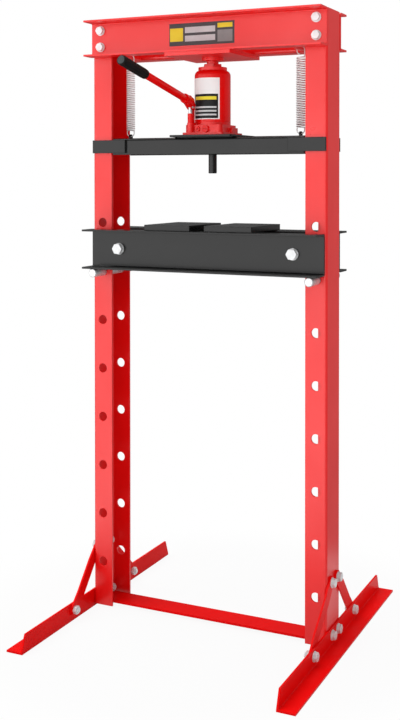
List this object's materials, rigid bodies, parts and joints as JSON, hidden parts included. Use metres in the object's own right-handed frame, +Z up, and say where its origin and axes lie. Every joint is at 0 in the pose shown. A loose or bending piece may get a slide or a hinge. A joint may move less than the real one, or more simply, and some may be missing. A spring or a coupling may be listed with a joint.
{
  "type": "hydraulic shop press",
  "caption": "H-frame floor press: a bottle jack on a sprung sliding beam drives a press pin down onto arbor plates on a pinned, height-adjustable bed.",
  "frame": {"origin": "on the floor, at the middle of the press's footprint", "axes": "+X to the right along the crown, -Y towards the operator and the pump handle, +Z up"},
  "size_m": [0.628, 0.634, 1.31],
  "materials": {
    "red_paint": "glossy red enamel",
    "jack_red": "glossy red enamel on castings and tube",
    "black_paint": "satin black enamel",
    "zinc_plate": "bright zinc plate",
    "bright_steel": "turned and polished",
    "spring_steel": "zinc plated wire",
    "black_rubber": "moulded, matte"
  },
  "bodies": {
    "frame": {"left_upright": "red_paint", "right_upright": "red_paint", "front_crown_channel": "red_paint", "rear_crown_channel": "red_paint", "head_plate": "red_paint", "left_foot": "red_paint", "right_foot": "red_paint", "left_front_brace": "red_paint", "right_front_brace": "red_paint", "left_rear_brace": "red_paint", "right_rear_brace": "red_paint", "cross_tie": "red_paint", "left_hanger_rod": "red_paint", "right_hanger_rod": "red_paint", "front_bed_channel": "black_paint", "rear_bed_channel": "black_paint", "left_bed_spacer": "black_paint", "right_bed_spacer": "black_paint", "left_arbor_plate": "black_paint", "right_arbor_plate": "black_paint", "crown_bolts": "zinc_plate", "crown_nuts": "zinc_plate", "brace_bolts": "zinc_plate", "brace_nuts": "zinc_plate", "foot_bolts": "zinc_plate", "foot_nuts": "zinc_plate", "bed_tie_bolts": "zinc_plate", "bed_tie_nuts": "zinc_plate", "left_bed_pin": "bright_steel", "right_bed_pin": "bright_steel", "left_spring": "spring_steel", "right_spring": "spring_steel", "ram": "jack_red", "saddle": "jack_red", "ram_seal": "black_rubber"},
    "carriage": {"press_beam": "black_paint", "left_front_guide": "black_paint", "right_front_guide": "black_paint", "left_rear_guide": "black_paint", "right_rear_guide": "black_paint", "jack_plate": "black_paint", "press_pin": "black_paint", "left_spring_eye": "black_paint", "right_spring_eye": "black_paint", "jack_base": "jack_red", "reservoir": "jack_red", "top_nut": "jack_red", "pump_cylinder": "jack_red", "valve_plug": "jack_red", "jack_cylinder": "bright_steel", "filler_plug": "black_rubber"},
    "pump_lever": {"handle_socket": "jack_red", "fulcrum_pin": "bright_steel", "plunger_pin": "bright_steel", "handle_tube": "jack_red", "handle_grip": "black_rubber"},
    "plunger": {"pump_plunger": "bright_steel"},
    "valve": {"release_valve": "jack_red"}
  },
  "joints": [
    {"name": "press_stroke", "type": "slide", "parent": "frame", "child": "carriage", "axis": [0, 0, -1], "range_m": [0, 0.09], "stiffness_N_per_m": 1000, "springref_m": -0.1, "deforming": ["left_spring", "right_spring"]},
    {"name": "handle_swing", "type": "hinge", "parent": "carriage", "child": "pump_lever", "pos_m": [-0.03035, -0.03624, 1.1145], "axis": [0.9962, -0.0872, 0], "range_deg": [-30, 30]},
    {"name": "plunger_slide", "type": "slide", "parent": "carriage", "child": "plunger", "axis": [0, 0, -1], "range_m": [-0.005, 0.005]},
    {"name": "release_valve_turn", "type": "hinge", "parent": "carriage", "child": "valve", "pos_m": [0.004, -0.043, 1.0683], "axis": [0, -1, 0], "range_deg": [0, 180]}
  ],
  "couplings": [
    {"joint": "plunger_slide", "follows": "handle_swing", "m_per_rad": 0.0095}
  ]
}
